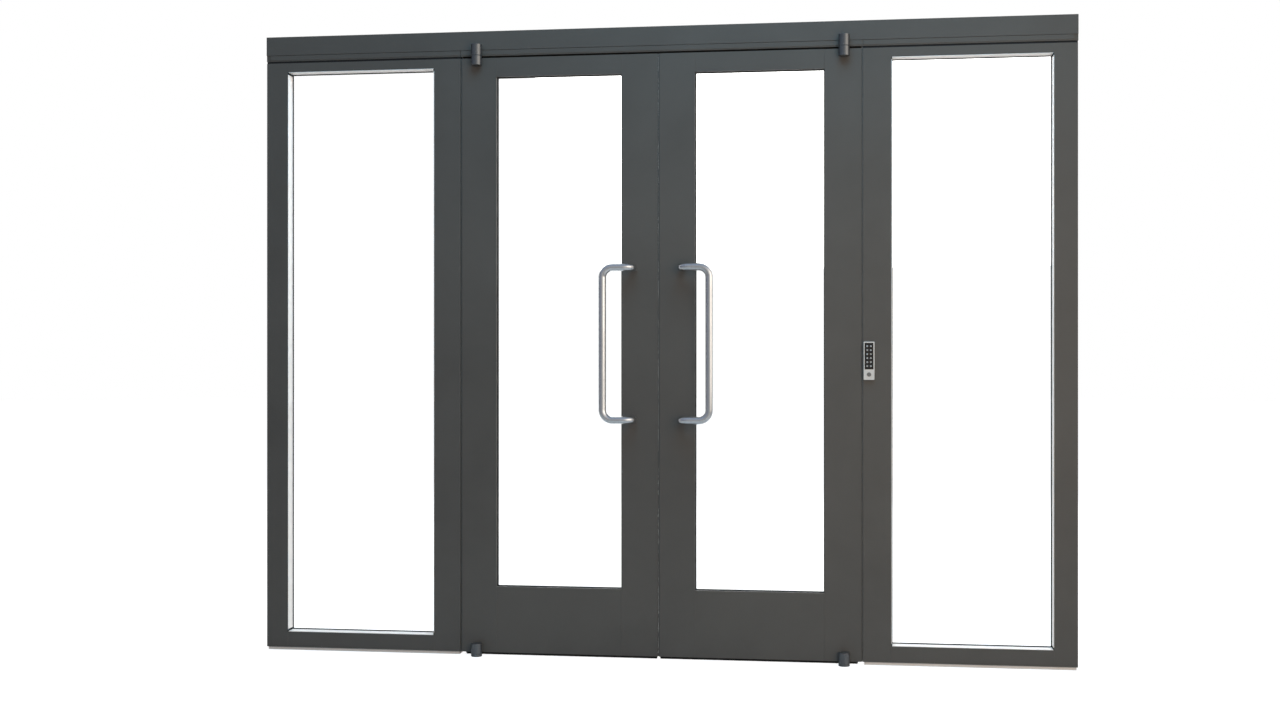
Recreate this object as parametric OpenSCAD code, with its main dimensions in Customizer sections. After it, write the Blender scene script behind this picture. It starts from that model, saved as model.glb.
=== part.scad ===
// Storefront entrance: a pair of glazed swing doors on offset pivots between two fixed sidelights,
// under one full-width head. Aluminium extrusions, tubular pulls and a keypad on the right mullion.
// The front faces -Y, +Z is up, and the floor is at z = 0.

/* [Framing] */
// Height of the framing, from the underside of its sills to the top of the head
frame_h = 2500; // [2300:10:3000]
// Depth of the framing, front to back
frame_d = 64; // [60:1:90]
// Clear width between the mullions, which the two leaves close
doorway_w = 1608; // [1400:4:1900]
// Glazed width of each sidelight, between its jamb and its mullion
sidelight_w = 616; // [450:2:900]
// Face width of a jamb
jamb_w = 89; // [60:1:120]
// Face width of a mullion
mullion_w = 109; // [80:1:150]
// Face height of the head
head_h = 100; // [90:1:150]
// Joint between the head and everything below it
head_joint = 8; // [6:0.5:12]
// How far the head runs past each jamb
head_overhang = 2; // [0:0.5:6]
// Face height of a sidelight's top rail
light_rail_h = 37; // [30:1:70]
// Face height of a sidelight's sill
light_sill_h = 63.5; // [50:0.5:100]
// Height of the sub-sill that carries a sidelight's frame
subsill_h = 12; // [10:1:20]
// Setback of the sub-sill from the frame's front, rear and ends
subsill_setback = 5; // [2:1:12]
// Wall thickness of every extrusion
wall = 3; // [2:0.5:4]

/* [Head cover] */
// Height of the head's plain face, above the cover
head_face_h = 75; // [60:1:85]
// Width of the groove above the cover, and of the joints between its lengths
cover_joint = 2; // [1:0.5:3]
// Height of the set-back lip under the cover's flush face
cover_lip_h = 5; // [3:0.5:10]
// Thickness of the cover
cover_t = 4; // [3:0.5:6]
// Setback of that lip
cover_lip_back = 1.5; // [1:0.25:2.5]
// Distance from the head's ends to the ends of the cover
cover_inset = 14; // [4:1:30]

/* [Leaves] */
// Thickness of a leaf
leaf_t = 45; // [40:1:50]
// Face width of a stile
stile_w = 142; // [110:1:160]
// Face height of a leaf's top rail
top_rail_h = 77; // [60:1:120]
// Face height of a leaf's bottom rail
bottom_rail_h = 265; // [200:1:320]
// Gap between a leaf and its mullion
hinge_gap = 7; // [6:0.5:10]
// Gap between the two leaves
meeting_gap = 10; // [9:0.5:14]
// How far the meeting edge is bevelled back, so that its rear corner swings clear
meeting_bevel = 3; // [2.5:0.5:5]
// Gap between a sweep and the floor
sweep_floor_gap = 2; // [2:0.5:5]
// Thickness of a sweep
sweep_t = 14; // [8:1:20]
// Setback of a sweep's end at the hinge edge
sweep_hinge_inset = 12; // [6:1:20]
// Projection of the edge seals into the gaps beside a leaf
seal_out = 2; // [1:0.5:2.5]
// Width of the edge seals, front to back
seal_w = 8; // [5:1:10]
// Setback of the edge seals from the leaf's front face
seal_back = 4; // [3:0.5:8]

/* [Glazing] */
// Thickness of a leaf's glass
door_glass_t = 10; // [6:1:12]
// Thickness of a sidelight's glass
light_glass_t = 6; // [5:1:8]
// How far the framing covers the glass at each edge
glass_bite = 12; // [8:1:15]
// Room left in the pocket past the glass's edge
glass_edge_gap = 3; // [2:0.5:5]
// Thickness of the gasket at each face of a leaf's glass
door_gasket_t = 3.5; // [2:0.5:5]
// Thickness of the gasket at each face of a sidelight's glass
light_gasket_t = 1; // [1:0.25:2]
// How far a leaf's gasket shows past the edge of the framing
door_gasket_sight = 3; // [1:0.5:5]
// Setback of the pale lining in a sidelight's reveals from the frame's front
lining_setback = 0; // [0:1:10]
// Thickness of the lining
lining_t = 2; // [1:0.5:3]
// Height of the black blocks at the lining's corners
corner_block_h = 10; // [6:1:20]
// Thickness of the corner blocks
corner_block_t = 3; // [2:0.5:4]
// How far the gasket behind the lining shows past it
light_gasket_sight = 4; // [2:0.5:6]

/* [Pivots] */
// Radius of the pivot barrels
barrel_r = 22; // [18:1:24]
// Distance from a mullion's edge to the pivot's axis
pivot_in = 73; // [40:1:100]
// Clearance between a barrel and the face behind it
pivot_standoff = 4; // [3:0.5:10]
// Radius of the pivot pins
pin_r = 8; // [6:0.5:10]
// Radial clearance of a pin in its bore
pin_clearance = 0.08; // [0.04:0.01:0.1]
// Vertical gap between two barrels that turn on one another
barrel_gap = 0.5; // [0.3:0.1:1]
// Width of the web that joins a barrel to the face behind it
web_w = 26; // [18:1:34]
// Height of the barrel that the head carries
head_barrel_h = 46; // [36:1:60]
// Height of the barrel at the top of a leaf
leaf_barrel_h = 38; // [30:1:60]
// Height of the barrel at the foot of a leaf
foot_barrel_h = 44; // [36:1:60]
// Height of the floor bearing under a leaf
floor_bearing_h = 7.5; // [6:0.5:9]

/* [Pulls] */
// Diameter of the pull's tube
pull_d = 30; // [25:1:38]
// Wall of the pull's tube
pull_wall = 2; // [1.5:0.5:3]
// Distance between the pull's two feet
pull_centres = 600; // [400:10:900]
// Height of the middle of the pull, from the bottom of the leaf
pull_mid = 1240; // [900:10:1300]
// Distance from the doorway's centre to the feet
pull_foot = 96; // [60:1:110]
// Sideways distance from the feet to the grip
pull_offset = 115; // [90:1:150]
// Distance from the leaf's face to the centre of the grip
pull_out = 85; // [70:1:110]
// Centreline radius of the bends between arms and grip
pull_bend = 40; // [32:1:50]
// Centreline radius of the bends between feet and arms
foot_bend = 34; // [28:1:45]

/* [Keypad] */
// Width of the keypad's case
keypad_w = 42; // [36:1:60]
// Height of the keypad's case
keypad_h = 149; // [130:1:180]
// Depth of the keypad's case
keypad_d = 15; // [10:1:24]
// Height of the case's bottom, from the bottom of the framing
keypad_up = 1099; // [900:10:1300]
// Distance from the doorway's edge to the case
keypad_in = 2; // [1:1:40]
// Radius of the case's corners
keypad_corner = 3; // [1:0.5:6]
// Width of the black panel
panel_w = 34; // [26:1:36]
// Height of the black panel
panel_h = 103; // [90:1:110]
// Margin over the black panel
panel_margin = 5; // [3:0.5:8]
// Number of keys in each of the two columns
key_rows = 6; // [4:1:6]
// Radius of a key
key_r = 3.5; // [2.5:0.25:5]
// Distance between the two columns of keys
key_pitch_x = 13.6; // [10:0.2:16]
// Distance between the rows of keys
key_pitch_z = 15.5; // [12:0.5:16]
// Radius of the round button
button_r = 9.5; // [6:0.5:12]
// Height of the button's centre, from the bottom of the case
button_up = 21; // [14:1:26]

/* [Anchors] */
// Radius of the anchor holes
anchor_r = 5; // [4:0.5:8]
// Distance from an end of a jamb to its first anchor hole
anchor_end = 206; // [100:2:400]
// Distance from an end of the head to its first anchor hole
head_anchor_end = 328; // [200:2:600]

/* [Hidden] */

$fn = 48;
eps = 0.01;
LEFT = -1;
RIGHT = 1;

graphite = [0.28, 0.29, 0.29];
black = [0.07, 0.07, 0.08];
pale_metal = [0.85, 0.84, 0.82];
satin_steel = [0.62, 0.63, 0.65];
clear_glass = [0.80, 0.90, 0.92, 0.35];

front = -frame_d / 2;
rear = frame_d / 2;
half_doorway = doorway_w / 2;
half_w = half_doorway + mullion_w + sidelight_w + jamb_w;
frame_bottom = subsill_h;
frame_top = frame_bottom + frame_h;
head_bottom = frame_top - head_h;
cover_h = head_h - head_face_h - cover_joint - cover_lip_h;
leaf_top = head_bottom - head_joint;
leaf_h = leaf_top - frame_bottom;

// A sidelight's glazed opening and the pocket that holds its glass
light_left = -half_w + jamb_w;
light_bottom = frame_bottom + light_sill_h;
light_h = leaf_top - light_rail_h - light_bottom;
light_slot_t = light_glass_t + 2 * light_gasket_t;
light_slot_y = rear - wall - light_slot_t;
light_glass_y = light_slot_y + light_gasket_t;
lining_y = front + lining_setback;
lining_d = light_slot_y - light_gasket_t - lining_y;

// A leaf, its glazed opening and the pocket that holds its glass
leaf_w = half_doorway - hinge_gap - meeting_gap / 2;
leaf_left = -half_doorway + hinge_gap;
leaf_right = -meeting_gap / 2;
door_light_w = leaf_w - 2 * stile_w;
door_light_left = leaf_left + stile_w;
door_light_bottom = frame_bottom + bottom_rail_h;
door_light_h = leaf_top - top_rail_h - door_light_bottom;
door_slot_t = door_glass_t + 2 * door_gasket_t;
door_slot_y = front + (leaf_t - door_slot_t) / 2;
door_glass_y = door_slot_y + door_gasket_t;

pocket_d = glass_bite + glass_edge_gap;
pivot_out = barrel_r + pivot_standoff;
pivot_x = -half_doorway + pivot_in;
pivot_y = front - pivot_out;
barrel_split = leaf_top + head_joint / 2;
foot_barrel_z = floor_bearing_h + barrel_gap;
web_clear = 4;
pin_reach = 24;
bore_spare = 2;
head_seal_w = 12;
head_seal_drop = 3;
joint_setback = 4;
panel_z = keypad_h - panel_margin - panel_h;
panel_corner = 1.5;
panel_t = 1;
key_t = 1;
button_t = 1.5;

// The origin lies under the left jamb's centreline, on the floor
module set_out() translate([half_w - jamb_w / 2, 0, 0]) children();

// Everything beside the doorway's centre is drawn on the left and mirrored to the right
module on(side) set_out() mirror([side == RIGHT ? 1 : 0, 0, 0]) children();

// A length along +X of an outline drawn with its x front to back and its y upwards
module along_x(length) rotate([90, 0, 90]) linear_extrude(length) children();

// An upright of an outline drawn across the face and front to back
module upright(length) linear_extrude(length) children();

// A rail of that same outline, lying along +X with its glazed edge up
module rail(length) along_x(length) mirror([1, -1, 0]) children();

// Hollow extrusion with a pocket for glass in its far edge; skew bevels the near edge
module extrusion(face_w, depth, slot_y, slot_t, skew = 0) {
    lip_back = depth - slot_y - slot_t;
    difference() {
        polygon([[0, 0], [face_w, 0], [face_w, depth], [skew, depth]]);
        translate([wall + skew, wall])
            square([face_w - pocket_d - 2 * wall - skew, depth - 2 * wall]);
        translate([face_w - pocket_d, slot_y]) square([pocket_d + eps, slot_t]);
        if (slot_y > 3 * wall)
            translate([face_w - pocket_d, wall]) square([pocket_d - wall, slot_y - 2 * wall]);
        if (lip_back > 3 * wall)
            translate([face_w - pocket_d, slot_y + slot_t + wall])
                square([pocket_d - wall, lip_back - 2 * wall]);
    }
}

module frame_extrusion(face_w) extrusion(face_w, frame_d, light_slot_y - front, light_slot_t);

module leaf_extrusion(face_w, skew = 0)
    extrusion(face_w, leaf_t, door_slot_y - front, door_slot_t, skew);

// Upright ring round an opening, from outside it to within it, facing -Y
module ring(left, bottom, w, h, outside, within, y, t) {
    translate([left, y + t, bottom]) rotate([90, 0, 0]) linear_extrude(t) difference() {
        translate([-outside, -outside]) square([w + 2 * outside, h + 2 * outside]);
        translate([within, within]) square([w - 2 * within, h - 2 * within]);
    }
}

module rounded_plate(w, h, r, t) {
    rotate([90, 0, 0]) linear_extrude(t) {
        translate([r, 0]) square([w - 2 * r, h]);
        translate([0, r]) square([w, h - 2 * r]);
        for (x = [r, w - r], z = [r, h - r]) translate([x, z]) circle(r);
    }
}

// --- Head ---

module head() {
    recess_h = head_h - head_face_h;
    set_out() color(graphite) difference() {
        translate([-half_w - head_overhang, 0, 0]) along_x(2 * (half_w + head_overhang)) difference() {
            translate([front, head_bottom]) square([frame_d, head_h]);
            translate([front - eps, head_bottom - eps]) square([cover_t + eps, recess_h + eps]);
            translate([front + wall, head_bottom + recess_h + wall])
                square([frame_d - 2 * wall, head_face_h - 2 * wall]);
            translate([front + cover_t + wall, head_bottom + wall])
                square([frame_d - cover_t - 2 * wall, recess_h - wall]);
        }
        for (x = [-1, -1 / 3, 1 / 3, 1])
            translate([x * (half_w - head_anchor_end), 0, frame_top - 2 * wall])
                cylinder(h = 3 * wall, r = anchor_r);
    }
}

// Three lengths of snap-on cover, the middle one over the doorway
module head_cover() {
    ends = [-half_w + cover_inset, -half_doorway, half_doorway, half_w - cover_inset];
    set_out() color(graphite) for (i = [0:2]) {
        left = ends[i] + (i == 0 ? 0 : cover_joint / 2);
        right = ends[i + 1] - (i == 2 ? 0 : cover_joint / 2);
        translate([left, 0, 0]) along_x(right - left) {
            translate([front, head_bottom + cover_lip_h]) square([cover_t, cover_h]);
            translate([front + cover_lip_back, head_bottom])
                square([cover_t - cover_lip_back, cover_lip_h + cover_h - eps]);
        }
    }
}

// Full strips over each sidelight, and a shallow one over the leaves
module head_seals() {
    module strip(left, right, y, w, z, h) translate([left, y, z]) cube([right - left, w, h]);
    set_out() color(black) {
        for (side = [0, 1]) mirror([side, 0, 0])
            strip(-half_w, -half_doorway, front + joint_setback, frame_d - 2 * joint_setback,
                  leaf_top, head_joint);
        strip(-half_doorway + hinge_gap, half_doorway - hinge_gap, front + leaf_t / 2 - head_seal_w / 2,
              head_seal_w, head_bottom - head_seal_drop, head_seal_drop);
    }
}

module subsills() {
    set_out() color(pale_metal) for (side = [0, 1]) mirror([side, 0, 0])
        translate([-half_w + subsill_setback, front + subsill_setback, 0])
            cube([half_w - half_doorway - 2 * subsill_setback, frame_d - 2 * subsill_setback, subsill_h]);
}

// --- Sidelights ---

module jamb(side) {
    on(side) color(graphite) difference() {
        translate([-half_w, front, frame_bottom]) upright(leaf_h) frame_extrusion(jamb_w);
        for (k = [0:3])
            translate([-half_w - wall, 0, frame_bottom + anchor_end + k * (leaf_h - 2 * anchor_end) / 3])
                rotate([0, 90, 0]) cylinder(h = 3 * wall, r = anchor_r);
    }
}

module mullion(side) {
    on(side) color(graphite) translate([-half_doorway, front, frame_bottom]) mirror([1, 0, 0])
        upright(leaf_h) frame_extrusion(mullion_w);
}

module sidelight_sill(side) {
    on(side) color(graphite) translate([light_left, front, frame_bottom])
        rail(sidelight_w) frame_extrusion(light_sill_h);
}

module sidelight_top_rail(side) {
    on(side) color(graphite) translate([light_left, front, leaf_top]) mirror([0, 0, 1])
        rail(sidelight_w) frame_extrusion(light_rail_h);
}

module sidelight_glass(side) {
    on(side) color(clear_glass)
        translate([light_left - glass_bite, light_glass_y, light_bottom - glass_bite])
            cube([sidelight_w + 2 * glass_bite, light_glass_t, light_h + 2 * glass_bite]);
}

// Rings at both faces of the glass, and the blocks at the corners of the lining
module sidelight_gasket(side) {
    within = lining_t + light_gasket_sight;
    block_y = lining_y + lining_d;
    on(side) color(black) {
        ring(light_left, light_bottom, sidelight_w, light_h, glass_bite, within,
             light_slot_y, light_gasket_t);
        ring(light_left, light_bottom, sidelight_w, light_h, 0, within,
             block_y, light_gasket_t + eps);
        ring(light_left, light_bottom, sidelight_w, light_h, glass_bite, lining_t,
             light_glass_y + light_glass_t, light_gasket_t);
        for (x = [0, sidelight_w - corner_block_t], z = [0, light_h - corner_block_h])
            translate([light_left + x, lining_y, light_bottom + z])
                cube([corner_block_t, lining_d + eps, corner_block_h]);
    }
}

// Pale strips on the four reveals
module sidelight_lining(side) {
    on(side) color(pale_metal) translate([light_left, lining_y, light_bottom]) {
        for (x = [0, sidelight_w - lining_t]) translate([x, 0, corner_block_h])
            cube([lining_t, lining_d, light_h - 2 * corner_block_h]);
        for (z = [0, light_h - lining_t]) translate([corner_block_t, 0, z])
            cube([sidelight_w - 2 * corner_block_t, lining_d, lining_t]);
    }
}

// --- Pivots ---

// Barrel standing off the face behind it, with a web from web_z to web_z + web_h
module barrel(z, h, web_z, web_h) {
    translate([pivot_x, pivot_y, z]) cylinder(h = h, r = barrel_r);
    translate([pivot_x - web_w / 2, pivot_y, web_z]) cube([web_w, pivot_out, web_h]);
}

module pivot_pin(z, h) translate([pivot_x, pivot_y, z]) cylinder(h = h, r = pin_r);

module pivot_bore(z, h) translate([pivot_x, pivot_y, z]) cylinder(h = h, r = pin_r + pin_clearance);

// Barrels fixed to the head, each with a pin hanging from it
module top_pivots() {
    barrel_z = barrel_split + barrel_gap;
    web_z = head_bottom + cover_lip_h + web_clear;
    set_out() color(graphite) for (side = [0, 1]) mirror([side, 0, 0]) {
        barrel(barrel_z, head_barrel_h, web_z, barrel_z + head_barrel_h - web_z);
        pivot_pin(barrel_z - pin_reach, pin_reach + eps);
    }
}

// Bearings that stand on the floor, each with a pin rising from it
module floor_pivots() {
    set_out() color(graphite) for (side = [0, 1]) mirror([side, 0, 0]) {
        translate([pivot_x, pivot_y, 0]) cylinder(h = floor_bearing_h, r = barrel_r);
        pivot_pin(floor_bearing_h - eps, pin_reach);
    }
}

module pivot_barrels(side) {
    top_z = barrel_split - leaf_barrel_h;
    foot_web_z = frame_bottom + web_clear;
    on(side) color(graphite) difference() {
        union() {
            barrel(top_z, leaf_barrel_h, top_z, leaf_top - web_clear - top_z);
            barrel(foot_barrel_z, foot_barrel_h, foot_web_z, foot_barrel_z + foot_barrel_h - foot_web_z);
        }
        pivot_bore(barrel_split - pin_reach - bore_spare, pin_reach + 2 * bore_spare);
        pivot_bore(foot_barrel_z - bore_spare, pin_reach + 2 * bore_spare);
    }
}

// --- Leaves ---

module hinge_stile(side) {
    on(side) color(graphite) translate([leaf_left, front, frame_bottom])
        upright(leaf_h) leaf_extrusion(stile_w);
}

module meeting_stile(side) {
    on(side) color(graphite) translate([leaf_right, front, frame_bottom]) mirror([1, 0, 0])
        upright(leaf_h) leaf_extrusion(stile_w, meeting_bevel);
}

module bottom_rail(side) {
    on(side) color(graphite) translate([door_light_left, front, frame_bottom])
        rail(door_light_w) leaf_extrusion(bottom_rail_h);
}

module top_rail(side) {
    on(side) color(graphite) translate([door_light_left, front, leaf_top]) mirror([0, 0, 1])
        rail(door_light_w) leaf_extrusion(top_rail_h);
}

module door_glass(side) {
    on(side) color(clear_glass)
        translate([door_light_left - glass_bite, door_glass_y, door_light_bottom - glass_bite])
            cube([door_light_w + 2 * glass_bite, door_glass_t, door_light_h + 2 * glass_bite]);
}

module door_gasket(side) {
    on(side) color(black) for (y = [door_slot_y, door_glass_y + door_glass_t])
        ring(door_light_left, door_light_bottom, door_light_w, door_light_h, glass_bite,
             door_gasket_sight, y, door_gasket_t);
}

module sweep(side) {
    on(side) color(black)
        translate([leaf_left + sweep_hinge_inset, front + (leaf_t - sweep_t) / 2, sweep_floor_gap])
            cube([leaf_w - sweep_hinge_inset, sweep_t, frame_bottom - sweep_floor_gap]);
}

// Strips down both upright edges of a leaf
module edge_seals(side) {
    bevel_at_seal = meeting_bevel * (seal_back + seal_w) / leaf_t;
    on(side) color(black) {
        translate([leaf_left - seal_out, front + seal_back, frame_bottom])
            cube([seal_out, seal_w, leaf_h]);
        translate([leaf_right, front + seal_back, frame_bottom]) upright(leaf_h)
            polygon([[-meeting_bevel * seal_back / leaf_t, 0], [seal_out, 0],
                     [seal_out, seal_w], [-bevel_at_seal, seal_w]]);
    }
}

// --- Pulls ---

module tube_section() difference() {
    circle(pull_d / 2);
    circle(pull_d / 2 - pull_wall);
}

// Quarter bend of the tube about +Z, from the +X direction to the +Y direction
module tube_bend(bend_r) rotate_extrude(angle = 90, $fn = 64) translate([bend_r, 0]) tube_section();

// Foot, arm and corner at one end of a pull. Its foot is at the origin and points along +Y,
// its arm runs along +X, and the corner turns down to the grip
module pull_end() {
    stem = pull_out - foot_bend;
    arm = pull_offset - foot_bend - pull_bend;
    rotate([-90, 0, 0]) linear_extrude(stem) tube_section();
    translate([foot_bend, stem, 0]) rotate([0, 0, 90]) tube_bend(foot_bend);
    translate([foot_bend, pull_out, 0]) rotate([0, 90, 0]) linear_extrude(arm) tube_section();
    translate([foot_bend + arm, pull_out, -pull_bend]) rotate([90, 0, 0]) tube_bend(pull_bend);
}

module pull(side) {
    grip = pull_centres - 2 * pull_bend;
    on(side) color(satin_steel) translate([-pull_foot, front, frame_bottom + pull_mid])
        rotate([0, 0, 180]) {
            for (end = [0, 1]) mirror([0, 0, end]) translate([0, 0, pull_centres / 2]) pull_end();
            translate([pull_offset, pull_out, -grip / 2]) linear_extrude(grip) tube_section();
        }
}

// --- Keypad ---

// A place on the keypad, counted from the lower left corner of its case, at depth out from the mullion
module on_keypad(x = 0, z = 0, out = 0)
    set_out() translate([half_doorway + keypad_in + x, front - out, frame_bottom + keypad_up + z])
        children();

module stud(r, h) rotate([90, 0, 0]) cylinder(h = h, r = r);

module keypad_case() color(satin_steel) on_keypad()
    rounded_plate(keypad_w, keypad_h, keypad_corner, keypad_d);

module keypad_panel() color(black) on_keypad((keypad_w - panel_w) / 2, panel_z, keypad_d)
    rounded_plate(panel_w, panel_h, panel_corner, panel_t);

module keypad_keys() color(satin_steel) for (column = [-0.5, 0.5], row = [0:key_rows - 1])
    on_keypad(keypad_w / 2 + column * key_pitch_x,
              panel_z + panel_h / 2 + (row - (key_rows - 1) / 2) * key_pitch_z, keypad_d + panel_t)
        stud(key_r, key_t);

module keypad_button() color(satin_steel) on_keypad(keypad_w / 2, button_up, keypad_d)
    stud(button_r, button_t);

head();
head_cover();
head_seals();
subsills();
jamb(LEFT);  // left_jamb
mullion(LEFT);  // left_mullion
sidelight_top_rail(LEFT);  // left_sidelight_top_rail
sidelight_sill(LEFT);  // left_sidelight_sill
sidelight_glass(LEFT);  // left_sidelight_glass
sidelight_gasket(LEFT);  // left_sidelight_gasket
sidelight_lining(LEFT);  // left_sidelight_lining
jamb(RIGHT);  // right_jamb
mullion(RIGHT);  // right_mullion
sidelight_top_rail(RIGHT);  // right_sidelight_top_rail
sidelight_sill(RIGHT);  // right_sidelight_sill
sidelight_glass(RIGHT);  // right_sidelight_glass
sidelight_gasket(RIGHT);  // right_sidelight_gasket
sidelight_lining(RIGHT);  // right_sidelight_lining
top_pivots();
floor_pivots();
keypad_case();
keypad_panel();
keypad_keys();
keypad_button();
hinge_stile(LEFT);  // left_hinge_stile
meeting_stile(LEFT);  // left_meeting_stile
top_rail(LEFT);  // left_top_rail
bottom_rail(LEFT);  // left_bottom_rail
door_glass(LEFT);  // left_door_glass
door_gasket(LEFT);  // left_door_gasket
sweep(LEFT);  // left_sweep
edge_seals(LEFT);  // left_edge_seals
pivot_barrels(LEFT);  // left_pivot_barrels
pull(LEFT);  // left_pull
hinge_stile(RIGHT);  // right_hinge_stile
meeting_stile(RIGHT);  // right_meeting_stile
top_rail(RIGHT);  // right_top_rail
bottom_rail(RIGHT);  // right_bottom_rail
door_glass(RIGHT);  // right_door_glass
door_gasket(RIGHT);  // right_door_gasket
sweep(RIGHT);  // right_sweep
edge_seals(RIGHT);  // right_edge_seals
pivot_barrels(RIGHT);  // right_pivot_barrels
pull(RIGHT);  // right_pull
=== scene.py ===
import math
import random

import bmesh
import bpy
from mathutils import Matrix, Vector


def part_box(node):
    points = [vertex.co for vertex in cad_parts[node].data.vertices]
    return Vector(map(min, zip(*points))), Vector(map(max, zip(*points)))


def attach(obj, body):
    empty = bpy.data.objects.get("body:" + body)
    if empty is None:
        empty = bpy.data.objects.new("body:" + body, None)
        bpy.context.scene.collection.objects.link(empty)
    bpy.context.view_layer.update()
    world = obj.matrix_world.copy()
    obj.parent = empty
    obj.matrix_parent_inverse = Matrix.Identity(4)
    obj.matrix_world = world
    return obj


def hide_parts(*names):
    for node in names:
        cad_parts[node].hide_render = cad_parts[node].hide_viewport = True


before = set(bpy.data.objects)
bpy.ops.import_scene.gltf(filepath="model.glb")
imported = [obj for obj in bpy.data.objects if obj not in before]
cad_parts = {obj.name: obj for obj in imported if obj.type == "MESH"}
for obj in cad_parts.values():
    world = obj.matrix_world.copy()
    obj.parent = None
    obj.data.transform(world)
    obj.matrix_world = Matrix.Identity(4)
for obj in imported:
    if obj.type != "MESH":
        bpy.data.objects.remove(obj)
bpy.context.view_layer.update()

headLow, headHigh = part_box("head")
middleX = (headLow.x + headHigh.x) / 2  # centre of the doorway
middleY = (headLow.y + headHigh.y) / 2
mm = 0.001
print("frame loaded:", len(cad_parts), "nodes")


# metres from the doorway's centre, degrees to the left, and the lens in mm
cameraSet = {"right": 0.7495, "back": 6.0968, "height": 1.1960, "turn": 7.72, "lens": 43.34, "sensor": 36,
             "shiftY": -0.00153}

cameraData = bpy.data.cameras.new("camera")
cameraData.lens = cameraSet["lens"]
cameraData.sensor_width = cameraSet["sensor"]
cameraData.shift_y = cameraSet["shiftY"]
camera = bpy.data.objects.new("camera", cameraData)
camera.location = (middleX + cameraSet["right"], middleY - cameraSet["back"], cameraSet["height"])
camera.rotation_euler = (math.radians(90), 0, math.radians(cameraSet["turn"]))
bpy.context.scene.collection.objects.link(camera)
bpy.context.scene.camera = camera
bpy.context.scene.view_settings.view_transform = "Standard"

lampSet = {
    "key": {"at": (1.9, -3.6, 1.5), "size": 2.4, "power": 63, "colour": (1.0, 0.76, 0.54)},
    "sky": {"at": (0.5, -2.2, 4.4), "size": 2.4, "power": 88, "colour": (0.30, 0.70, 1.0)},
    "back": {"at": (0.6, 6.0, 4.2), "size": 5.0, "power": 200, "colour": (1.0, 0.98, 0.95)},
}
lampAim = 1.2  # height that every lamp points at
for lampName, lamp in lampSet.items():
    lampData = bpy.data.lights.new(lampName, "AREA")
    lampData.shape = "SQUARE"
    lampData.size = lamp["size"]
    lampData.energy = lamp["power"]
    lampData.color = lamp["colour"]
    lampObject = bpy.data.objects.new(lampName, lampData)
    lampObject.location = Vector((middleX, middleY, 0)) + Vector(lamp["at"])
    aim = Vector((middleX, middleY, lampAim)) - lampObject.location
    lampObject.rotation_euler = aim.to_track_quat("-Z", "Y").to_euler()
    lampObject.visible_glossy = False  # highlights come from the studio round it
    bpy.context.scene.collection.objects.link(lampObject)


def put(tree, kind, values=None, **settings):  # adds a shader node; values go to its sockets
    node = tree.nodes.new("ShaderNode" + kind)
    for key, value in settings.items():
        setattr(node, key, value)
    for key, value in (values or {}).items():
        node.inputs[key].default_value = value
    return node


def join(tree, *pairs):  # links each (output, input)
    for output, target in pairs:
        tree.links.new(output, target)


def maths(tree, a, b, operation="ADD", clamp=False):  # maths on two outputs or numbers
    node = put(tree, "Math", operation=operation, use_clamp=clamp)
    for index, item in enumerate((a, b)):
        if isinstance(item, (int, float)):
            node.inputs[index].default_value = item
        else:
            tree.links.new(item, node.inputs[index])
    return node.outputs[0]


def weighed(tree, a, shareOfA, b, shareOfB):  # a blend of two outputs
    return maths(tree, maths(tree, a, shareOfA, "MULTIPLY"), maths(tree, b, shareOfB, "MULTIPLY"))


def grey(level):
    return (level,) * 3


def ramp(tree, source, *stops):  # colour ramp from (position, colour) stops
    node = put(tree, "ValToRGB")
    elements = node.color_ramp.elements
    while len(elements) < len(stops):
        elements.new(0.5)
    for element, (position, colour) in zip(elements, stops):
        element.position = position
        element.color = (*colour, 1)
    tree.links.new(source, node.inputs[0])
    return node.outputs[0]


def mixColour(tree, factor, a, b):  # a and b are outputs or colours
    node = put(tree, "Mix", data_type="RGBA")
    for item, target in ((factor, node.inputs[0]), (a, node.inputs[6]), (b, node.inputs[7])):
        if isinstance(item, tuple):
            target.default_value = (*item, 1)
        else:
            tree.links.new(item, target)
    return node.outputs[2]


worldSet = {
    "ambient": (0.28, 0.28, 0.288),
    # what metal and paint reflect, by the angle in degrees from straight in front, to the right
    "studio": ((-180, (1.0, 1.0, 1.0)), (-160, (0.95, 0.97, 1.0)), (-142, (0.24, 0.27, 0.34)),
               (-80, (0.19, 0.21, 0.27)), (-30, (0.35, 0.37, 0.42)), (0, (0.52, 0.51, 0.50)),
               (24, (1.1, 1.03, 0.93)), (46, (2.7, 2.45, 2.12)), (76, (2.7, 2.4, 2.05)),
               (94, (0.32, 0.25, 0.20)), (138, (0.12, 0.10, 0.09)), (158, (0.9, 0.92, 0.95)),
               (180, (1.0, 1.0, 1.0))),
    "overhead": (0.36, 0.43, 0.54),
    "overheadFrom": 0.12,  # heights on the unit sphere between which the studio gives way to it
    "overheadTo": 0.9,
    "glassLoss": 0.09,  # makes up for what clear glass takes from the white behind it
}


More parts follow.
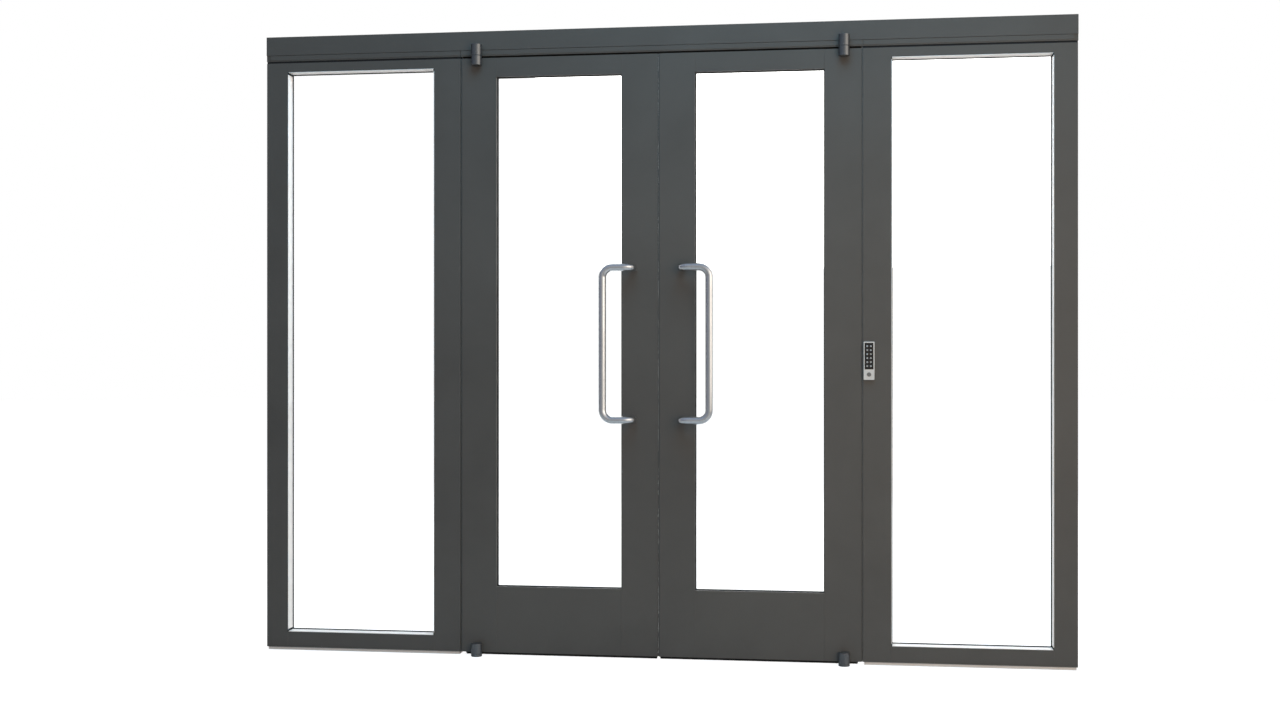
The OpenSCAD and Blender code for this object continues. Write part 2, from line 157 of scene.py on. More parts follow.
def buildWorld():  # white wherever it is seen, and a soft dim studio in the reflections
    world = bpy.data.worlds.new("studio")
    bpy.context.scene.world = world
    world.use_nodes = True
    tree = world.node_tree
    tree.nodes.clear()
    path = put(tree, "LightPath")
    direction = put(tree, "TexCoord")
    parts = put(tree, "SeparateXYZ")
    join(tree, (direction.outputs["Generated"], parts.inputs[0]))
    forward = maths(tree, parts.outputs[1], -1, "MULTIPLY")
    around = maths(tree, parts.outputs[0], forward, "ARCTAN2")
    turned = maths(tree, maths(tree, around, 1 / math.tau, "MULTIPLY"), 0.5)
    studio = ramp(tree, turned, *((angle / 360 + 0.5, colour) for angle, colour in worldSet["studio"]))
    heights = {"From Min": worldSet["overheadFrom"], "From Max": worldSet["overheadTo"]}
    high = put(tree, "MapRange", heights, interpolation_type="SMOOTHSTEP")
    join(tree, (parts.outputs[2], high.inputs[0]))
    glossy = mixColour(tree, high.outputs[0], studio, worldSet["overhead"])
    seen = maths(tree, path.outputs["Is Camera Ray"], path.outputs["Is Transmission Ray"], clamp=True)
    lit = mixColour(tree, path.outputs["Is Glossy Ray"], worldSet["ambient"], glossy)
    colour = mixColour(tree, seen, lit, (1, 1, 1))
    behindGlass = maths(tree, path.outputs["Is Transmission Ray"], worldSet["glassLoss"], "MULTIPLY")
    background = put(tree, "Background")
    output = put(tree, "OutputWorld")
    join(tree, (colour, background.inputs[0]), (maths(tree, behindGlass, 1.0), background.inputs[1]),
         (background.outputs[0], output.inputs[0]))


# radius in metres, and drop below the object's feet in mm
floorSet = {"radius": 40, "drop": 0.2, "matte": 0.55, "seenGlow": 0.87, "reflectedGlow": 0.12}


def buildFloor():  # pale, and keeps the object's shadow
    bm = bmesh.new()
    bmesh.ops.create_circle(bm, cap_ends=True, radius=floorSet["radius"], segments=64,
                            matrix=Matrix.Translation((middleX, middleY, -floorSet["drop"] * mm)))
    mesh = bpy.data.meshes.new("floor")
    bm.to_mesh(mesh)
    bm.free()
    floor = bpy.data.objects.new("floor", mesh)
    bpy.context.scene.collection.objects.link(floor)
    material = bpy.data.materials.new("paleFloor")
    material.use_nodes = True
    tree = material.node_tree
    tree.nodes.clear()
    path = put(tree, "LightPath")
    matte = put(tree, "BsdfDiffuse", {"Color": (*(floorSet["matte"],) * 3, 1)})
    glow = put(tree, "Emission", {"Color": (1, 1, 1, 1)})
    both = put(tree, "AddShader")
    output = put(tree, "OutputMaterial")
    seen = maths(tree, path.outputs["Is Camera Ray"], path.outputs["Is Transmission Ray"], clamp=True)
    seenGlow = maths(tree, seen, floorSet["seenGlow"], "MULTIPLY")
    reflectedGlow = maths(tree, path.outputs["Is Glossy Ray"], floorSet["reflectedGlow"], "MULTIPLY")
    join(tree, (maths(tree, seenGlow, reflectedGlow), glow.inputs["Strength"]),
         (matte.outputs[0], both.inputs[0]), (glow.outputs[0], both.inputs[1]),
         (both.outputs[0], output.inputs[0]))
    mesh.materials.append(material)


buildWorld()
buildFloor()
print("camera, lamps and floor ready")


def newGroup(name, inputs, outputs):  # inputs are (name, value), outputs are (name, kind)
    tree = bpy.data.node_groups.new(name, "ShaderNodeTree")
    for socketName, value in inputs:
        tree.interface.new_socket(name=socketName, in_out="INPUT",
                                  socket_type="NodeSocketFloat").default_value = value
    for socketName, kind in outputs:
        tree.interface.new_socket(name=socketName, in_out="OUTPUT", socket_type="NodeSocket" + kind)
    return tree, tree.nodes.new("NodeGroupInput"), tree.nodes.new("NodeGroupOutput")


# the fine orange peel of a sprayed or moulded surface, and its slow drift in tone
def makeCoatGrain():
    tree, given, out = newGroup("coatGrain", [("Grain Scale", 900.0), ("Drift Scale", 1.6)],
                                [("Height", "Float"), ("Tone", "Float")])
    place = put(tree, "TexCoord")
    fine = put(tree, "TexNoise", {"Detail": 3.0, "Roughness": 0.55})
    pits = put(tree, "TexVoronoi")
    slow = put(tree, "TexNoise", {"Detail": 5.0, "Roughness": 0.6, "Distortion": 0.4})
    for texture in (fine, pits, slow):
        join(tree, (place.outputs["Object"], texture.inputs["Vector"]))
    join(tree, (given.outputs[0], fine.inputs["Scale"]),
         (maths(tree, given.outputs[0], 0.6, "MULTIPLY"), pits.inputs["Scale"]),
         (given.outputs[1], slow.inputs["Scale"]))
    height = weighed(tree, fine.outputs[0], 0.7, pits.outputs[0], 0.3)
    tone = weighed(tree, slow.outputs[0], 0.85, fine.outputs[0], 0.15)
    join(tree, (height, out.inputs[0]), (tone, out.inputs[1]))
    return tree


def makeEdgeWear():  # rubbed outer edges, broken up by a noise
    tree, given, out = newGroup("edgeWear", [("Width", 0.0012), ("Patchiness", 60.0), ("Amount", 0.6)],
                                [("Mask", "Float")])
    rounded = put(tree, "Bevel", samples=4)
    flat = put(tree, "NewGeometry")
    facing = put(tree, "VectorMath", operation="DOT_PRODUCT")
    place = put(tree, "TexCoord")
    patches = put(tree, "TexNoise", {"Detail": 6.0, "Roughness": 0.7})
    join(tree, (given.outputs[0], rounded.inputs["Radius"]), (rounded.outputs[0], facing.inputs[0]),
         (flat.outputs["Normal"], facing.inputs[1]), (place.outputs["Object"], patches.inputs["Vector"]),
         (given.outputs[1], patches.inputs["Scale"]))
    edge = put(tree, "MapRange", {"From Min": 0.995, "From Max": 0.80})
    broken = put(tree, "MapRange", {"From Min": 0.42, "From Max": 0.62})
    join(tree, (facing.outputs["Value"], edge.inputs[0]), (patches.outputs[0], broken.inputs[0]))
    mask = maths(tree, edge.outputs[0], broken.outputs[0], "MULTIPLY")
    join(tree, (maths(tree, mask, given.outputs[2], "MULTIPLY", True), out.inputs[0]))
    return tree


def makeSettledDust():  # dust and foot marks low down, and a little on upward faces
    tree, given, out = newGroup("settledDust", [("Reach", 0.30), ("Amount", 0.5)], [("Mask", "Float")])
    place = put(tree, "TexCoord")
    parts = put(tree, "SeparateXYZ")
    facing = put(tree, "NewGeometry")
    up = put(tree, "SeparateXYZ")
    cloud = put(tree, "TexNoise", {"Scale": 9.0, "Detail": 8.0, "Roughness": 0.72})
    low = put(tree, "MapRange", {"To Min": 1.0, "To Max": 0.0}, interpolation_type="SMOOTHSTEP")
    top = put(tree, "MapRange", {"From Min": 0.6, "From Max": 1.0, "To Max": 0.7})
    speck = put(tree, "MapRange", {"From Min": 0.35, "From Max": 0.75})
    join(tree, (place.outputs["Object"], parts.inputs[0]), (place.outputs["Object"], cloud.inputs["Vector"]),
         (facing.outputs["Normal"], up.inputs[0]), (parts.outputs[2], low.inputs[0]),
         (given.outputs[0], low.inputs["From Max"]), (up.outputs[2], top.inputs[0]),
         (cloud.outputs[0], speck.inputs[0]))
    where = maths(tree, low.outputs[0], top.outputs[0], "MAXIMUM")
    mask = maths(tree, maths(tree, where, speck.outputs[0], "MULTIPLY"), given.outputs[1], "MULTIPLY", True)
    join(tree, (mask, out.inputs[0]))
    return tree


groups = {"coatGrain": makeCoatGrain(), "edgeWear": makeEdgeWear(), "settledDust": makeSettledDust()}


def useGroup(tree, name, **values):
    node = tree.nodes.new("ShaderNodeGroup")
    node.node_tree = groups[name]
    for key, value in values.items():
        node.inputs[key.replace("_", " ")].default_value = value
    return node


def startMaterial(name, **sockets):
    material = bpy.data.materials.new(name)
    material.use_nodes = True
    shader = material.node_tree.nodes["Principled BSDF"]
    for key, value in sockets.items():
        shader.inputs[key.replace("_", " ")].default_value = value
    return material, material.node_tree, shader


def addBump(tree, shader, height, distance):
    bump = put(tree, "Bump", {"Distance": distance, "Strength": 1.0})
    join(tree, (height, bump.inputs["Height"]), (bump.outputs[0], shader.inputs["Normal"]))


# paint, rubber or moulded plastic: its own drift in tone, rubbed edges and a little dust
def coated(name, dark, light, worn, dusty, roughness, grain=900.0, depth=0.00004, wear=0.5, dust=0.45,
           specular=0.5, metal=0.0):
    material, tree, shader = startMaterial(name, Specular_IOR_Level=specular, Metallic=metal)
    texture = useGroup(tree, "coatGrain", Grain_Scale=grain)
    rubbed = useGroup(tree, "edgeWear", Amount=wear)
    settled = useGroup(tree, "settledDust", Amount=dust)
    colour = ramp(tree, texture.outputs["Tone"], (0.36, dark), (0.62, light))
    colour = mixColour(tree, rubbed.outputs[0], colour, worn)
    colour = mixColour(tree, settled.outputs[0], colour, dusty)
    rough = ramp(tree, texture.outputs["Tone"], (0.3, grey(roughness - 0.05)), (0.7, grey(roughness + 0.06)))
    rough = mixColour(tree, rubbed.outputs[0], rough, grey(max(roughness - 0.18, 0.1)))  # rubbed smoother
    rough = mixColour(tree, settled.outputs[0], rough, grey(0.85))  # dust is dull
    join(tree, (colour, shader.inputs["Base Color"]), (rough, shader.inputs["Roughness"]))
    addBump(tree, shader, texture.outputs["Height"], depth)
    return material


# metal with fine lines across its length, which is an attribute or else its height
def brushed(name, low, high, roughness, scale, depth, attribute=None, metal=1.0):
    material, tree, shader = startMaterial(name, Metallic=metal)
    if attribute:
        source = put(tree, "Attribute", attribute_name=attribute)
        length = source.outputs["Fac"]
    else:
        source = put(tree, "TexCoord")
        parts = put(tree, "SeparateXYZ")
        join(tree, (source.outputs["Object"], parts.inputs[0]))
        length = parts.outputs[2]
    lines = put(tree, "TexNoise", {"Detail": 4.0, "Roughness": 0.65, "Scale": scale}, noise_dimensions="1D")
    smudge = useGroup(tree, "coatGrain", Grain_Scale=260.0, Drift_Scale=7.0)
    join(tree, (length, lines.inputs["W"]))
    tone = weighed(tree, lines.outputs[0], 0.5, smudge.outputs["Tone"], 0.5)
    colour = ramp(tree, tone, (0.35, low), (0.65, high))
    rough = ramp(tree, tone, (0.35, grey(roughness + 0.07)), (0.65, grey(roughness - 0.04)))
    join(tree, (colour, shader.inputs["Base Color"]), (rough, shader.inputs["Roughness"]))
    addBump(tree, shader, lines.outputs[0], depth)
    return material


def clearGlass(name, tint):  # lets the lamps through
    material, tree, shader = startMaterial(name, IOR=1.45, Transmission_Weight=1.0)
    streaks = useGroup(tree, "coatGrain", Grain_Scale=40.0, Drift_Scale=3.0)
    settled = useGroup(tree, "settledDust", Reach=0.5, Amount=0.02)
    colour = ramp(tree, streaks.outputs["Tone"], (0.3, tuple(c * 0.995 for c in tint)), (0.7, tint))
    path = put(tree, "LightPath")
    through = put(tree, "BsdfTransparent", {"Color": (*tint, 1)})
    mixed = put(tree, "MixShader")
    output = tree.nodes["Material Output"]
    join(tree, (colour, shader.inputs["Base Color"]), (settled.outputs[0], shader.inputs["Roughness"]),
         (path.outputs["Is Shadow Ray"], mixed.inputs[0]), (shader.outputs[0], mixed.inputs[1]),
         (through.outputs[0], mixed.inputs[2]), (mixed.outputs[0], output.inputs[0]))
    return material


def pileFibres(name, dark, light):  # woven pile and bristles: fine strands, dusty low down
    material, tree, shader = startMaterial(name, Specular_IOR_Level=0.2)
    place = put(tree, "TexCoord")
    stretch = put(tree, "Mapping", {"Scale": (1800.0, 1800.0, 260.0)})
    strands = put(tree, "TexNoise", {"Scale": 1.0, "Detail": 3.0, "Roughness": 0.6})
    settled = useGroup(tree, "settledDust", Reach=0.05, Amount=0.5)
    join(tree, (place.outputs["Object"], stretch.inputs[0]), (stretch.outputs[0], strands.inputs["Vector"]))
    colour = ramp(tree, strands.outputs[0], (0.35, dark), (0.7, light))
    colour = mixColour(tree, settled.outputs[0], colour, (0.07, 0.068, 0.062))
    rough = ramp(tree, strands.outputs[0], (0.3, grey(0.95)), (0.7, grey(0.75)))
    join(tree, (colour, shader.inputs["Base Color"]), (rough, shader.inputs["Roughness"]))
    addBump(tree, shader, strands.outputs[0], 0.0004)
    return material


finish = {
    "graphitePaint": coated("graphitePaint", (0.0705, 0.0662, 0.0612), (0.0835, 0.0790, 0.0730),
                            (0.135, 0.132, 0.127), (0.135, 0.131, 0.124), 0.46, dust=0.10, wear=0.35),
    "pivotPaint": coated("pivotPaint", (0.105, 0.108, 0.115), (0.145, 0.149, 0.157), (0.24, 0.24, 0.24),
                         (0.15, 0.145, 0.135), 0.25, grain=1300, dust=0.2, wear=0.6, metal=0.75),
    "palePaint": coated("palePaint", (0.81, 0.775, 0.755), (0.88, 0.85, 0.83), (0.72, 0.70, 0.68),
                        (0.72, 0.70, 0.67), 0.40, dust=0.12, wear=0.25),
    "blackRubber": coated("blackRubber", (0.008, 0.008, 0.009), (0.015, 0.015, 0.016), (0.040, 0.040, 0.040),
                          (0.07, 0.068, 0.064), 0.66, grain=1500, dust=0.12, wear=0.3, specular=0.25),
    "blackPile": pileFibres("blackPile", (0.008, 0.009, 0.012), (0.024, 0.027, 0.033)),
    "greyPile": pileFibres("greyPile", (0.075, 0.073, 0.070), (0.145, 0.140, 0.133)),
    "satinSteel": brushed("satinSteel", (0.52, 0.53, 0.55), (0.67, 0.68, 0.70), 0.23, 1500.0, 0.00002,
                          "pullLength"),
    "silverCase": brushed("silverCase", (0.60, 0.59, 0.575), (0.70, 0.69, 0.675), 0.42, 2200.0, 0.00002,
                          metal=0.35),
    "buttonCap": brushed("buttonCap", (0.17, 0.167, 0.162), (0.24, 0.236, 0.228), 0.36, 2600.0, 0.00002,
                         metal=0.5),
    "screwSteel": brushed("screwSteel", (0.35, 0.35, 0.36), (0.52, 0.52, 0.53), 0.30, 3000.0, 0.00001),
    "glossPanel": coated("glossPanel", (0.009, 0.008, 0.007), (0.013, 0.012, 0.011), (0.03, 0.03, 0.03),
                         (0.06, 0.058, 0.055), 0.13, grain=400, depth=0.000006, dust=0.1, wear=0.2),
    "keyCap": coated("keyCap", (0.36, 0.36, 0.36), (0.43, 0.43, 0.43), (0.28, 0.28, 0.28),
                     (0.3, 0.29, 0.27), 0.5, grain=1600, dust=0.1, wear=0.3),
    "numberInk": coated("numberInk", (0.012, 0.012, 0.012), (0.02, 0.02, 0.02), (0.05, 0.05, 0.05),
                        (0.05, 0.05, 0.05), 0.6, dust=0.1, wear=0.3),
    "sidelightGlass": clearGlass("sidelightGlass", (0.985, 0.996, 0.993)),
    "doorGlass": clearGlass("doorGlass", (0.982, 0.995, 0.991)),
}
print("finishes ready:", len(finish))


def finishPiece(name, bm, body, material, nodes=(), outward=True, weighted=False, angle=18):
    if outward:
        bmesh.ops.recalc_face_normals(bm, faces=bm.faces)
    mesh = bpy.data.meshes.new(name)
    bm.to_mesh(mesh)
    bm.free()
    for face in mesh.polygons:
        face.use_smooth = True
    mesh.set_sharp_from_angle(angle=math.radians(angle))
    mesh.materials.append(finish[material])
    piece = bpy.data.objects.new(name, mesh)
    bpy.context.scene.collection.objects.link(piece)
    if weighted:
        piece.modifiers.new("evenShading", "WEIGHTED_NORMAL").keep_sharp = True
    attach(piece, body)
    if nodes:
        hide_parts(*nodes)


weld = 1e-6  # metres within which two vertices are one


def copyOf(node):  # a CAD node's solids, with flat faces made whole
    bm = bmesh.new()
    bm.from_mesh(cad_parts[node].data)
    bmesh.ops.remove_doubles(bm, verts=bm.verts, dist=1e-5)
    bmesh.ops.dissolve_limit(bm, angle_limit=math.radians(0.4), verts=bm.verts, edges=bm.edges)
    return bm


def softenEdges(bm, width, segments=2, above=25):  # rounds every edge sharper than an angle
    edges = [e for e in bm.edges if len(e.link_faces) == 2 and e.calc_face_angle(0) > math.radians(above)]
    bmesh.ops.bevel(bm, geom=edges, offset=width, offset_type="OFFSET", affect="EDGES", segments=segments,
                    profile=0.5, material=-1, clamp_overlap=True)


def addBlock(bm, low, high):  # a box between two corners; returns its vertices
    centre = (Vector(low) + Vector(high)) / 2
    size = Vector(high) - Vector(low)
    place = Matrix.Translation(centre) @ Matrix.Diagonal((*size, 1))
    return bmesh.ops.create_cube(bm, size=1, matrix=place)["verts"]


def addTurned(bm, profile, matrix, steps=40):  # (radius, height) points turned about the profile's own Z
    before = set(bm.verts)
    points = [bm.verts.new((radius, 0, height)) for radius, height in profile]
    edges = [bm.edges.new(pair) for pair in zip(points, points[1:])]
    bmesh.ops.spin(bm, geom=points + edges, cent=(0, 0, 0), axis=(0, 0, 1), angle=math.tau, steps=steps,
                   use_merge=True)
    bmesh.ops.remove_doubles(bm, verts=[v for v in bm.verts if v not in before], dist=weld)
    bmesh.ops.transform(bm, matrix=matrix, verts=[v for v in bm.verts if v not in before])


facing = {  # turns a profile's own Z to point outwards from the object
    "front": Matrix.Rotation(math.radians(90), 4, "X"),
    "rear": Matrix.Rotation(math.radians(-90), 4, "X"),
}

sides = ("left", "right")


def outwards(side):  # +1 towards the right jamb, -1 towards the left one
    return -1 if side == "left" else 1


softening = {  # edge radius in mm of what keeps its CAD shape
    "head": ("frame", 0.8, "graphitePaint", "dark_paint"),
    "head_cover": ("frame", 0.5, "graphitePaint", "dark_paint"),
    "head_seals": ("frame", 0.8, "blackRubber", "black_seal"),
    "subsills": ("frame", 0.6, "palePaint", "pale_paint"),
}
for side in sides:
    for part in ("jamb", "mullion", "sidelight_top_rail", "sidelight_sill"):
        softening[f"{side}_{part}"] = ("frame", 0.6, "graphitePaint", "dark_paint")
    for part in ("hinge_stile", "meeting_stile", "top_rail", "bottom_rail"):
        softening[f"{side}_{part}"] = (f"{side}_door", 0.6, "graphitePaint", "dark_paint")
    softening[f"{side}_sidelight_lining"] = ("frame", 0.3, "palePaint", "pale_paint")
    softening[f"{side}_sidelight_gasket"] = ("frame", 0.3, "blackRubber", "black_seal")
    softening[f"{side}_door_gasket"] = (f"{side}_door", 1.0, "blackRubber", "black_seal")
    softening[f"{side}_sidelight_glass"] = ("frame", 0.8, "sidelightGlass", "sidelight_glass")
    softening[f"{side}_door_glass"] = (f"{side}_door", 1.0, "doorGlass", "door_glass")
    softening[f"{side}_pivot_barrels"] = (f"{side}_door", 1.3, "pivotPaint", "pivot_paint")
for node in ("top_pivots", "floor_pivots"):
    softening[node] = ("frame", 1.3, "pivotPaint", "pivot_paint")


def camel(node):
    first, *rest = node.split("_")
    return first + "".join(word.capitalize() for word in rest)


for node, (body, radius, material, slot) in softening.items():
    bm = copyOf(node)
    softenEdges(bm, radius * mm)
    finishPiece(camel(node), bm, body, material, [node], outward=False)
print("members, glass and gaskets ready:", len(softening))


# radii, lengths and heights in mm, from the tube's centre
pull = {"tube": 15.0, "sides": 40, "footBend": 34.0, "gripBend": 40.0, "bendSteps": 14, "straightStep": 60.0,
        "nutRadius": 12.0, "nutHeight": 5.5, "washerRadius": 14.0, "washerHeight": 1.2}


def extendTube(bm, ring, along, length):  # ring is the open end's edges
    steps = max(1, round(length / (pull["straightStep"] * mm)))
    for step in range(steps):
        grown = bmesh.ops.extrude_edge_only(bm, edges=ring)["geom"]
        verts = [g for g in grown if isinstance(g, bmesh.types.BMVert)]
        edges = [g for g in grown if isinstance(g, bmesh.types.BMEdge)]
        ring = [edge for edge in edges if all(v in verts for v in edge.verts)]
        bmesh.ops.translate(bm, verts=verts, vec=along * (length / steps))
    return ring


def bendTube(bm, ring, centre, axis, angle):
    spun = bmesh.ops.spin(bm, geom=ring, cent=centre, axis=axis, angle=math.radians(angle),
                          steps=pull["bendSteps"])
    return [g for g in spun["geom_last"] if isinstance(g, bmesh.types.BMEdge)]


def addNuts(side, x, heights):  # domed nuts on washers, behind the meeting stile
    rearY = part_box(f"{side}_meeting_stile")[1].y
    nut, nutHigh = pull["nutRadius"] * mm, pull["nutHeight"] * mm
    washer, washerHigh = pull["washerRadius"] * mm, pull["washerHeight"] * mm
    profile = [(0, 0), (washer, 0), (washer, washerHigh * 0.7), (washer - 0.3 * mm, washerHigh)]
    dome = ((1, 0), (1, 0.45), (0.93, 0.7), (0.78, 0.88), (0.5, 1), (0, 1))  # shares of its radius and height
    profile += [(nut * across, washerHigh + nutHigh * up) for across, up in dome]
    bm = bmesh.new()
    for z in heights:
        addTurned(bm, profile, Matrix.Translation((x, rearY, z)) @ facing["rear"])
    finishPiece(f"{side}PullNuts", bm, f"{side}_door", "screwSteel", angle=32)


def buildPull(side):
    low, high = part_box(f"{side}_pull")
    s = outwards(side)  # the grip stands on this side of the feet
    tube = pull["tube"] * mm
    footX = (high.x - tube) if side == "left" else (low.x + tube)
    gripX = (low.x + tube) if side == "left" else (high.x - tube)
    faceY, gripY = high.y, low.y + tube
    topZ, bottomZ = high.z - tube, low.z + tube
    footBend, gripBend = pull["footBend"] * mm, pull["gripBend"] * mm
    bm = bmesh.new()
    layer = bm.verts.layers.float.new("pullLength")
    bmesh.ops.create_circle(bm, radius=tube, segments=pull["sides"],
                            matrix=Matrix.Translation((footX, faceY, topZ)) @ facing["front"])
    ring = list(bm.edges)
    sideways, forwards, down = Vector((s, 0, 0)), Vector((0, -1, 0)), Vector((0, 0, -1))
    stem = faceY - gripY - footBend
    arm = abs(gripX - footX) - footBend - gripBend
    ring = extendTube(bm, ring, forwards, stem)
    ring = bendTube(bm, ring, (footX + s * footBend, gripY + footBend, topZ), (0, 0, 1), 90 * s)
    ring = extendTube(bm, ring, sideways, arm)
    ring = bendTube(bm, ring, (gripX - s * gripBend, gripY, topZ - gripBend), (0, 1, 0), 90 * s)
    ring = extendTube(bm, ring, down, topZ - bottomZ - 2 * gripBend)
    ring = bendTube(bm, ring, (gripX - s * gripBend, gripY, bottomZ + gripBend), (0, 1, 0), 90 * s)
    ring = extendTube(bm, ring, -sideways, arm)
    ring = bendTube(bm, ring, (footX + s * footBend, gripY + footBend, bottomZ), (0, 0, 1), -90 * s)
    extendTube(bm, ring, -forwards, stem)
    # every ring's distance along the tube, for the brushing
    count = pull["sides"]
    verts = list(bm.verts)
    rings = [verts[i:i + count] for i in range(0, len(verts), count)]
    bmesh.ops.holes_fill(bm, edges=[e for e in bm.edges if e.is_boundary], sides=0)
    travelled, before = 0.0, None
    for verts in rings:
        centre = sum((v.co for v in verts), Vector()) / count
        travelled += (centre - before).length if before else 0
        before = centre
        for v in verts:
            v[layer] = travelled
    finishPiece(f"{side}Pull", bm, f"{side}_door", "satinSteel", [f"{side}_pull"], angle=40)
    addNuts(side, footX, (topZ, bottomZ))


for side in sides:
    buildPull(side)
print("pulls ready")


# mm; lap is how far tufts run up into the carrier, and endRoom is what both ends leave free
sweep = {"carrierHeight": 4.5, "carrierEdge": 0.7, "tuftPitch": 2.6, "tuftWidth": 2.9, "tuftDepth": 2.4,
         "finDepth": 0.8, "finInset": 1.0, "finLift": 0.5, "floorClear": 0.6, "endClear": 1.6, "endRoom": 3.0,
         "lap": 0.2, "lean": 0.5, "rows": (-3.2, 0.0, 3.2)}
# mm; each reach is from the edge that carries the pile
pile = {"meetingReach": 4.8, "hingeReach": 6.8, "tuftPitch": 12.0, "backing": 0.9, "baseOut": 1.0,
        "baseIn": 0.6, "root": 0.5, "ragged": 0.25, "taper": 0.7, "headReach": 7.2, "headWidth": 9.0,
        "headInset": 3.0}


def buildSweep(side, chance):
    low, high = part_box(f"{side}_sweep")
    centreY = (low.y + high.y) / 2
    bm = bmesh.new()
    carrierLow = high.z - sweep["carrierHeight"] * mm
    addBlock(bm, (low.x, low.y, carrierLow), high)
    softenEdges(bm, sweep["carrierEdge"] * mm)
    finishPiece(f"{side}SweepCarrier", bm, f"{side}_door", "blackRubber")
    bm = bmesh.new()
    bottom, top = sweep["floorClear"] * mm, carrierLow + sweep["lap"] * mm
    fin, inset = sweep["finDepth"] * mm / 2, sweep["finInset"] * mm
    addBlock(bm, (low.x + inset, centreY - fin, bottom + sweep["finLift"] * mm),
             (high.x - inset, centreY + fin, top))
    pitch, lean = sweep["tuftPitch"] * mm, sweep["lean"]
    half, deep = sweep["tuftWidth"] * mm / 2, sweep["tuftDepth"] * mm / 2
    count = int((high.x - low.x - sweep["endRoom"] * mm) / pitch)
    for row in sweep["rows"]:
        y = centreY + row * mm
        for i in range(count):
            x = low.x + sweep["endClear"] * mm + (i + 0.5) * pitch
            verts = addBlock(bm, (x - half, y - deep, bottom), (x + half, y + deep, top))
            away = [chance.uniform(least, lean) for least in (-lean, -lean, 0)]
            for v in verts:
                if v.co.z < bottom + 1 * mm:
                    v.co += Vector(away) * mm
    finishPiece(f"{side}SweepBrush", bm, f"{side}_door", "blackPile", [f"{side}_sweep"])


def buildPile(side, chance):  # the pile that closes the gaps beside a leaf
    low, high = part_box(f"{side}_edge_seals")
    s = outwards(side)
    outer, inner = (0, 1) if side == "left" else (1, 0)  # which corner of a box lies on which side
    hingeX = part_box(f"{side}_hinge_stile")[outer].x
    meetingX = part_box(f"{side}_meeting_stile")[inner].x
    inset = pile["backing"] * mm
    steps = int((high.z - low.z) / (pile["tuftPitch"] * mm))
    heights = [low.z + (high.z - low.z) * i / steps for i in range(steps + 1)]
    bm = bmesh.new()
    for edgeX, reach, way in ((hingeX, pile["hingeReach"], s), (meetingX, pile["meetingReach"], -s)):
        ends = sorted((edgeX - way * pile["baseIn"] * mm, edgeX + way * pile["baseOut"] * mm))
        addBlock(bm, (ends[0], low.y, low.z), (ends[1], high.y, high.z))
        root, tip = edgeX + way * pile["root"] * mm, edgeX + way * reach * mm
        for zLow, zHigh in zip(heights, heights[1:]):
            block = addBlock(bm, (min(root, tip), low.y + inset, zLow), (max(root, tip), high.y - inset, zHigh))
            shift = chance.uniform(-pile["ragged"], 0.0) * mm
            for v in block:
                if abs(v.co.x - tip) < weld:
                    v.co.x += way * shift
                    v.co.y += math.copysign(pile["taper"] * mm, (low.y + high.y) / 2 - v.co.y)
    finishPiece(f"{side}EdgeSeals", bm, f"{side}_door", "greyPile", [f"{side}_edge_seals"])


def buildHeadPile(chance):  # hangs from the head and closes the joint over the leaves
    stileLow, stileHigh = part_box("left_hinge_stile")
    centreY = (stileLow.y + stileHigh.y) / 2
    left = stileLow.x + pile["headInset"] * mm
    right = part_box("right_hinge_stile")[1].x - pile["headInset"] * mm
    half = pile["headWidth"] * mm / 2
    top = headLow.z
    bottom = top - pile["headReach"] * mm
    steps = round((right - left) / (pile["tuftPitch"] * mm))
    places = [left + (right - left) * i / steps for i in range(steps + 1)]
    bm = bmesh.new()
    for xLow, xHigh in zip(places, places[1:]):
        for v in addBlock(bm, (xLow, centreY - half, bottom), (xHigh, centreY + half, top)):
            if v.co.z < bottom + 1 * mm:
                v.co.z += chance.uniform(0.0, pile["ragged"]) * mm
                v.co.y += math.copysign(pile["taper"] * mm, centreY - v.co.y)
    finishPiece("headPile", bm, "frame", "blackPile")


chance = random.Random(11)
for side in sides:
    buildSweep(side, chance)
    buildPile(side, chance)
buildHeadPile(chance)
print("sweeps and seals ready")


# mm; shares of the button's height are in its two profiles
keypad = {"cornerRadius": 3.0, "frontRim": 1.6, "panelCorner": 1.6, "panelRim": 0.35, "keyRadius": 3.5,
          "keyRim": 0.5, "keyDish": 0.25, "numberSize": 4.4, "numberThick": 0.03, "numberLift": 0.06,
          "ringWidth": 0.9, "ringGap": 0.35,
          "keys": ("1", "2", "3", "4", "5", "6", "7", "8", "9", "0", "*", "#")}


def addRoundedPlate(bm, low, high, corner, rim):  # a block with round corners, and a rounded front rim
    addBlock(bm, low, high)
    upright = [e for e in bm.edges if abs(e.verts[0].co.y - e.verts[1].co.y) > weld]
    bmesh.ops.bevel(bm, geom=upright, offset=corner, offset_type="OFFSET", affect="EDGES", segments=8,
                    profile=0.5, material=-1, clamp_overlap=True)
    front = [e for e in bm.edges if all(abs(v.co.y - low.y) < weld for v in e.verts)]
    bmesh.ops.bevel(bm, geom=front, offset=rim, offset_type="OFFSET", affect="EDGES", segments=4,
                    profile=0.5, material=-1, clamp_overlap=True)


def buildCase():
    low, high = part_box("keypad_case")
    bm = bmesh.new()
    addRoundedPlate(bm, low, high, keypad["cornerRadius"] * mm, keypad["frontRim"] * mm)
    finishPiece("keypadCase", bm, "frame", "silverCase", ["keypad_case"], weighted=True,
                angle=50)
    low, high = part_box("keypad_panel")
    bm = bmesh.new()
    addRoundedPlate(bm, low, high, keypad["panelCorner"] * mm, keypad["panelRim"] * mm)
    finishPiece("keypadPanel", bm, "frame", "glossPanel", ["keypad_panel"], weighted=True,
                angle=50)


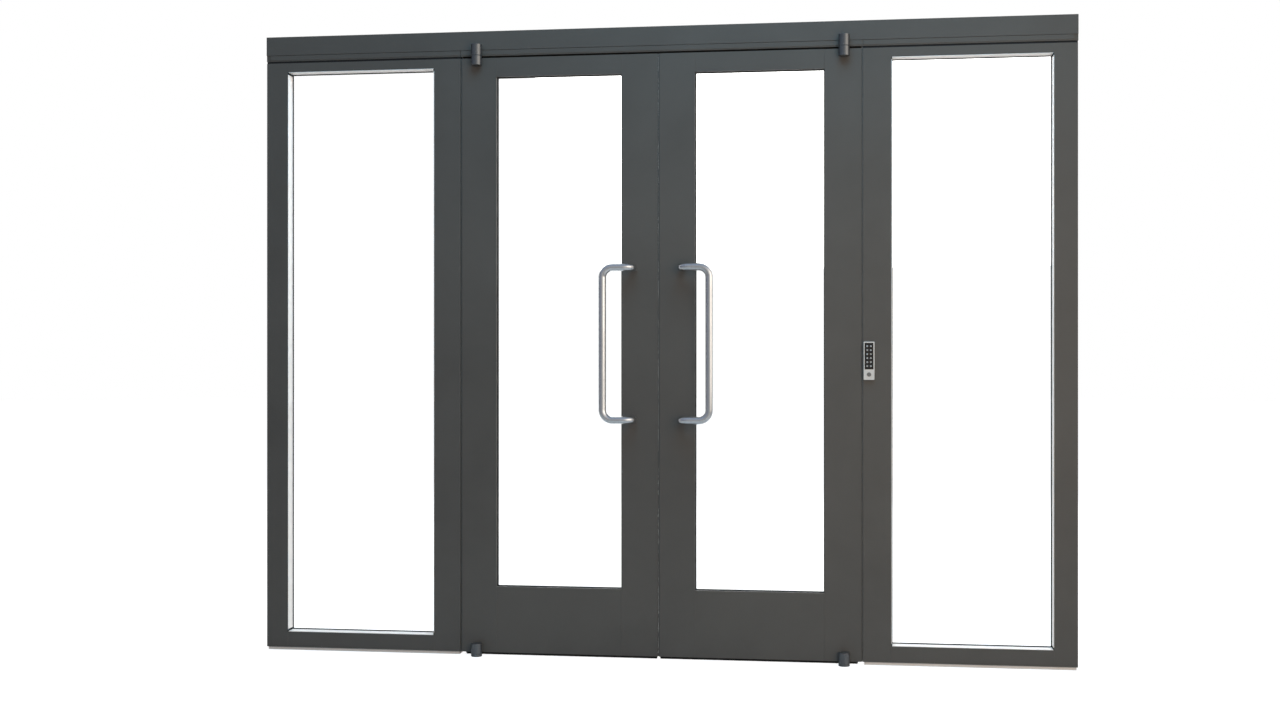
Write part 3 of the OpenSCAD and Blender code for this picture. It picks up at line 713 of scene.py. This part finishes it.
def newNumber(label):  # flat text, which is made a mesh later
    text = bpy.data.curves.new("number", "FONT")
    text.body = label
    text.size = keypad["numberSize"] * mm
    text.align_x, text.align_y = "CENTER", "CENTER"
    text.extrude = keypad["numberThick"] * mm
    holder = bpy.data.objects.new("number", text)
    bpy.context.scene.collection.objects.link(holder)
    return holder


def buildKeys():  # dished keys with plain numbers
    low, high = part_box("keypad_keys")
    radius, rim, dish = keypad["keyRadius"] * mm, keypad["keyRim"] * mm, keypad["keyDish"] * mm
    tall = high.y - low.y
    profile = [(0, 0), (radius, 0), (radius, tall - rim * 0.6), (radius - rim * 0.35, tall - rim * 0.15),
               (radius - rim, tall), (radius * 0.75, tall - dish * 0.4), (radius * 0.4, tall - dish * 0.85),
               (0, tall - dish)]
    rows = len(keypad["keys"]) // 2
    pitch = (high.z - low.z - 2 * radius) / (rows - 1)
    caps, numbers = bmesh.new(), []
    for i, label in enumerate(keypad["keys"]):
        x = (low.x + radius) if i % 2 == 0 else (high.x - radius)
        z = high.z - radius - pitch * (i // 2)
        addTurned(caps, profile, Matrix.Translation((x, high.y, z)) @ facing["front"], steps=28)
        inkY = low.y + dish - keypad["numberLift"] * mm
        numbers.append((newNumber(label), Matrix.Translation((x, inkY, z)) @ facing["front"]))
    finishPiece("keypadKeys", caps, "frame", "keyCap", ["keypad_keys"], angle=40)
    bpy.context.view_layer.update()
    graph = bpy.context.evaluated_depsgraph_get()
    ink = bmesh.new()
    for holder, place in numbers:
        mesh = bpy.data.meshes.new_from_object(holder.evaluated_get(graph))
        mesh.transform(place)
        ink.from_mesh(mesh)
        bpy.data.objects.remove(holder)
    bmesh.ops.remove_doubles(ink, verts=ink.verts, dist=1e-7)
    finishPiece("keypadNumbers", ink, "frame", "numberInk", angle=30)


def buildButton():  # a push button in a ring
    low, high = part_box("keypad_button")
    place = Matrix.Translation(((low.x + high.x) / 2, high.y, (low.z + high.z) / 2)) @ facing["front"]
    radius, tall = (high.x - low.x) / 2, high.y - low.y
    bore = radius - keypad["ringWidth"] * mm
    cap = bore - keypad["ringGap"] * mm
    bm = bmesh.new()
    addTurned(bm, [(bore, 0), (radius, 0), (radius, tall * 0.6), (radius - 0.3 * mm, tall * 0.9),
                   (radius - 0.6 * mm, tall), (bore, tall * 0.9), (bore, 0)], place, steps=48)
    finishPiece("keypadRing", bm, "frame", "silverCase", ["keypad_button"], angle=35)
    bm = bmesh.new()
    addTurned(bm, [(0, 0), (cap, 0), (cap, tall * 0.4), (cap - 0.25 * mm, tall * 0.65),
                   (cap - 0.9 * mm, tall * 0.8), (cap * 0.45, tall * 0.7), (0, tall * 0.66)], place, steps=48)
    finishPiece("keypadButton", bm, "frame", "buttonCap", angle=35)


buildCase()
buildKeys()
buildButton()
print("keypad ready")
